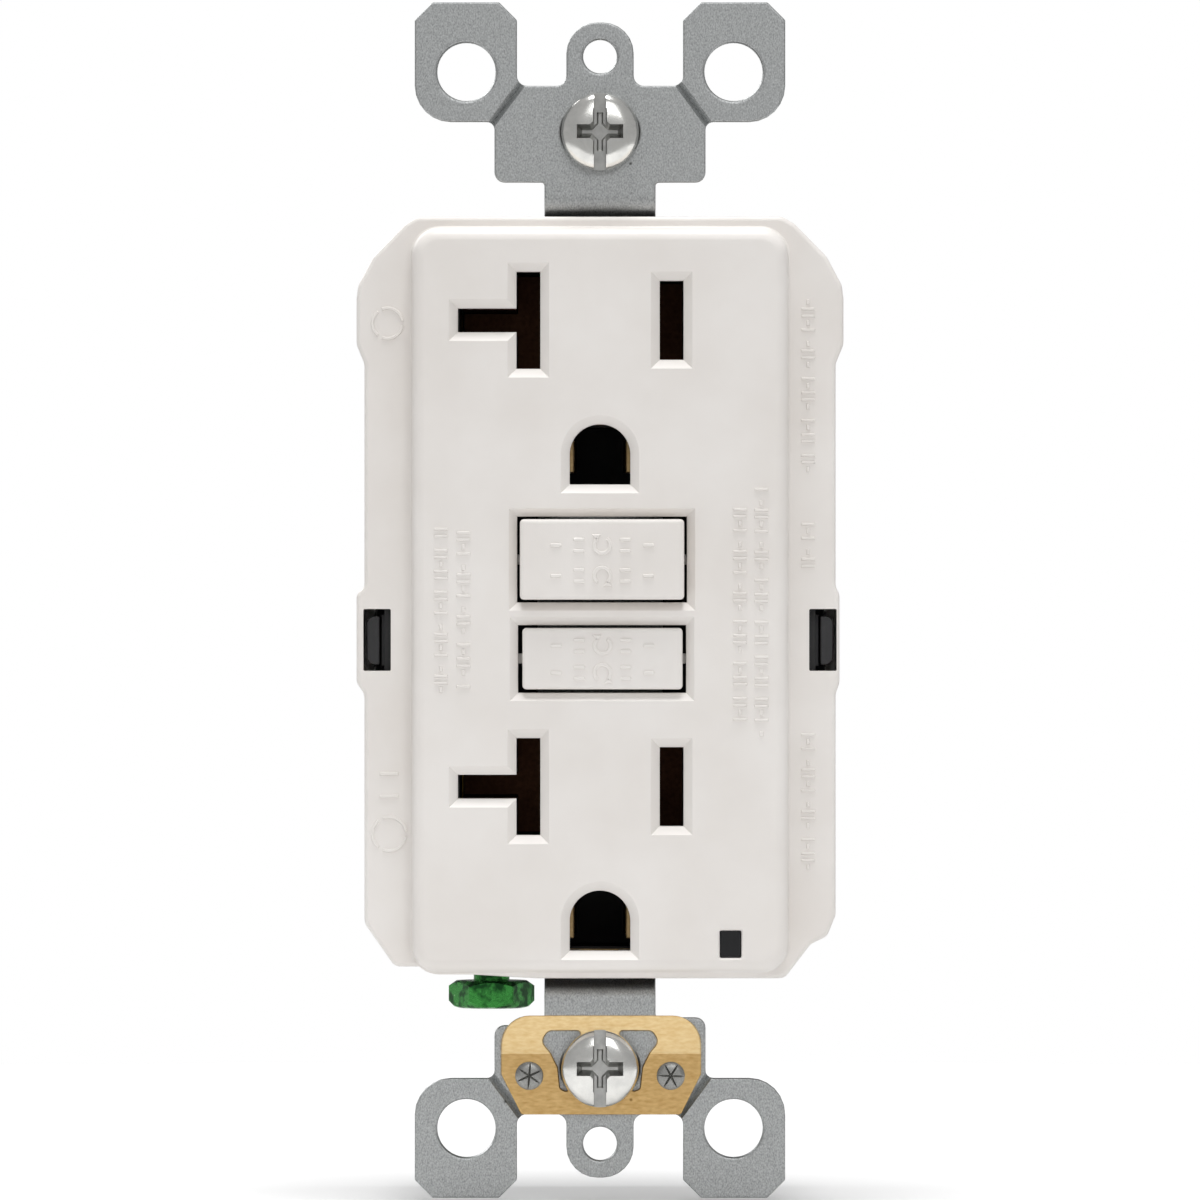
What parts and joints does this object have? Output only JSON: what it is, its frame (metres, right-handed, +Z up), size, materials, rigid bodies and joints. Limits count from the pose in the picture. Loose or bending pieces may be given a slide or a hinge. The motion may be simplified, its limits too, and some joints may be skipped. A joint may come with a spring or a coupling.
{
  "type": "gfci outlet",
  "caption": "Ground-fault outlet with two grounded blade receptacles, test and reset buttons, indicator window, steel strap and side wire clamps.",
  "frame": {"origin": "midway between the two box screws, on the rear face of the strap's ears", "axes": "+X right seen from the front, +Y back into the wall box, +Z up along the strap"},
  "size_m": [0.0432, 0.0339, 0.1064],
  "materials": {
    "white_cover_plastic": "moulded thermoplastic, satin",
    "lens": "clear moulded plastic, dark behind",
    "galvanized_steel": "zinc-coated steel sheet, finely speckled",
    "zinc_plated_steel": "bright zinc plate",
    "spring_steel": "drawn spring wire",
    "bright_steel": "nickel-plated steel",
    "brass": "stamped brass sheet",
    "tinned_ground_brass": "dull stamped brass",
    "contact_bronze": "phosphor bronze strip, slightly tarnished",
    "silver_contact": "silver alloy rivet",
    "fibre": "vulcanised fibre washer",
    "green_steel": "green-dyed zinc plate",
    "black_frame_plastic": "glass-filled thermoplastic",
    "dark_housing_plastic": "moulded thermoplastic",
    "cream_nylon": "moulded nylon",
    "copper_wire": "enamelled copper winding",
    "core_steel": "coated magnetic core",
    "brass_terminal": "brass",
    "silver_terminal": "nickel-plated steel",
    "circuit_board": "solder-masked fibreglass",
    "led_lens": "moulded epoxy",
    "black_package": "moulded epoxy with tinned leads",
    "varistor_coating": "dipped epoxy",
    "film_coating": "dipped epoxy",
    "capacitor_sleeve": "shrink sleeve",
    "resistor_body": "coated axial bodies"
  },
  "bodies": {
    "root": {"front_cover": "white_cover_plastic", "light_pipe": "lens", "reset_spring": "spring_steel", "test_spring": "spring_steel", "test_contact": "brass", "mounting_strap": "galvanized_steel", "self_ground_clip": "brass", "clip_rivets": "brass", "retaining_washers": "fibre", "ground_contact_upper": "tinned_ground_brass", "ground_contact_lower": "tinned_ground_brass", "ground_contact_rivets": "brass", "middle_frame": "black_frame_plastic", "hot_contact_strip": "contact_bronze", "neutral_contact_strip": "contact_bronze", "fixed_contact_rivets": "silver_contact", "lifter_spring": "spring_steel", "solenoid_bobbin": "cream_nylon", "solenoid_winding": "copper_wire", "solenoid_frame": "bright_steel", "plunger_spring": "spring_steel", "sense_cores": "core_steel", "sense_windings": "copper_wire", "transformer_holder": "cream_nylon", "sense_conductors": "brass", "line_terminal_plates": "brass", "load_terminal_plates": "brass", "circuit_board": "circuit_board", "indicator_led": "led_lens", "control_chip": "black_package", "thyristor": "black_package", "varistor": "varistor_coating", "film_capacitor": "film_coating", "electrolytic_capacitor": "capacitor_sleeve", "resistors_and_diodes": "resistor_body", "rear_housing": "dark_housing_plastic", "assembly_screws": "zinc_plated_steel"},
    "reset": {"reset_button": "white_cover_plastic", "reset_pin": "bright_steel"},
    "test": {"test_button": "white_cover_plastic"},
    "lifter": {"latch_lifter": "cream_nylon", "latch_spring": "spring_steel"},
    "latch": {"latch_plate": "bright_steel"},
    "plunger": {"solenoid_plunger": "bright_steel"},
    "hot_arm": {"hot_contact_arm": "contact_bronze", "hot_moving_contact": "silver_contact"},
    "neutral_arm": {"neutral_contact_arm": "contact_bronze", "neutral_moving_contact": "silver_contact"},
    "box_screw_upper": {"box_screw_upper": "zinc_plated_steel"},
    "box_screw_lower": {"box_screw_lower": "zinc_plated_steel"},
    "ground_screw": {"ground_screw": "green_steel"},
    "clamp_line_hot": {"clamp_plate_line_hot": "brass_terminal"},
    "screw_line_hot": {"terminal_screw_line_hot": "brass_terminal"},
    "clamp_line_neutral": {"clamp_plate_line_neutral": "silver_terminal"},
    "screw_line_neutral": {"terminal_screw_line_neutral": "silver_terminal"},
    "clamp_load_hot": {"clamp_plate_load_hot": "brass_terminal"},
    "screw_load_hot": {"terminal_screw_load_hot": "brass_terminal"},
    "clamp_load_neutral": {"clamp_plate_load_neutral": "silver_terminal"},
    "screw_load_neutral": {"terminal_screw_load_neutral": "silver_terminal"}
  },
  "joints": [
    {"name": "reset_press", "type": "slide", "parent": "root", "child": "reset", "axis": [0, 1, 0], "range_m": [0, 0.0032], "stiffness_N_per_m": 350, "springref_m": -0.002, "deforming": ["reset_spring"]},
    {"name": "test_press", "type": "slide", "parent": "root", "child": "test", "axis": [0, 1, 0], "range_m": [0, 0.0015], "stiffness_N_per_m": 400, "springref_m": -0.001, "deforming": ["test_spring"]},
    {"name": "lifter_slide", "type": "slide", "parent": "root", "child": "lifter", "axis": [0, -1, 0], "range_m": [0, 0.0012], "stiffness_N_per_m": 250, "springref_m": -0.001, "deforming": ["lifter_spring"]},
    {"name": "trip_stroke", "type": "slide", "parent": "root", "child": "plunger", "axis": [0, 0, -1], "range_m": [0, 0.0008], "stiffness_N_per_m": 150, "springref_m": -0.0005, "deforming": ["plunger_spring"]},
    {"name": "latch_slide", "type": "slide", "parent": "lifter", "child": "latch", "axis": [0, 0, -1], "range_m": [0, 0.0008], "deforming": ["latch_spring"]},
    {"name": "hot_arm_swing", "type": "hinge", "parent": "root", "child": "hot_arm", "pos_m": [0.0104, 0.0165, -0.0165], "axis": [1, 0, 0], "range_deg": [0, 3.43]},
    {"name": "neutral_arm_swing", "type": "hinge", "parent": "root", "child": "neutral_arm", "pos_m": [-0.0104, 0.0165, -0.0165], "axis": [1, 0, 0], "range_deg": [0, 3.43]},
    {"name": "box_screw_upper_turn", "type": "hinge", "parent": "root", "child": "box_screw_upper", "pos_m": [0, 0, 0.04167], "axis": [0, 1, 0], "continuous": true},
    {"name": "box_screw_lower_turn", "type": "hinge", "parent": "root", "child": "box_screw_lower", "pos_m": [0, 0, -0.04167], "axis": [0, 1, 0], "continuous": true},
    {"name": "ground_screw_turn", "type": "hinge", "parent": "root", "child": "ground_screw", "pos_m": [-0.00972, 0.0056, -0.0339], "axis": [0, 0, 1], "continuous": true},
    {"name": "clamp_line_hot_slide", "type": "slide", "parent": "root", "child": "clamp_line_hot", "axis": [1, 0, 0], "range_m": [0, 0.00238]},
    {"name": "screw_line_hot_turn", "type": "hinge", "parent": "clamp_line_hot", "child": "screw_line_hot", "pos_m": [0.0172, 0.0105, -0.0202], "axis": [1, 0, 0], "range_deg": [0, 1080]},
    {"name": "clamp_line_neutral_slide", "type": "slide", "parent": "root", "child": "clamp_line_neutral", "axis": [-1, 0, 0], "range_m": [0, 0.00238]},
    {"name": "screw_line_neutral_turn", "type": "hinge", "parent": "clamp_line_neutral", "child": "screw_line_neutral", "pos_m": [-0.0172, 0.0105, -0.0202], "axis": [-1, 0, 0], "range_deg": [0, 1080]},
    {"name": "clamp_load_hot_slide", "type": "slide", "parent": "root", "child": "clamp_load_hot", "axis": [1, 0, 0], "range_m": [0, 0.00238]},
    {"name": "screw_load_hot_turn", "type": "hinge", "parent": "clamp_load_hot", "child": "screw_load_hot", "pos_m": [0.0172, 0.0105, 0.0202], "axis": [1, 0, 0], "range_deg": [0, 1080]},
    {"name": "clamp_load_neutral_slide", "type": "slide", "parent": "root", "child": "clamp_load_neutral", "axis": [-1, 0, 0], "range_m": [0, 0.00238]},
    {"name": "screw_load_neutral_turn", "type": "hinge", "parent": "clamp_load_neutral", "child": "screw_load_neutral", "pos_m": [-0.0172, 0.0105, 0.0202], "axis": [-1, 0, 0], "range_deg": [0, 1080]}
  ],
  "couplings": [
    {"joint": "latch_slide", "follows": "trip_stroke", "ratio": 1},
    {"joint": "hot_arm_swing", "follows": "lifter_slide", "rad_per_m": 49.776},
    {"joint": "neutral_arm_swing", "follows": "lifter_slide", "rad_per_m": 49.776},
    {"joint": "screw_line_hot_turn", "follows": "clamp_line_hot_slide", "rad_per_m": 7920},
    {"joint": "screw_line_neutral_turn", "follows": "clamp_line_neutral_slide", "rad_per_m": 7920},
    {"joint": "screw_load_hot_turn", "follows": "clamp_load_hot_slide", "rad_per_m": 7920},
    {"joint": "screw_load_neutral_turn", "follows": "clamp_load_neutral_slide", "rad_per_m": 7920}
  ]
}
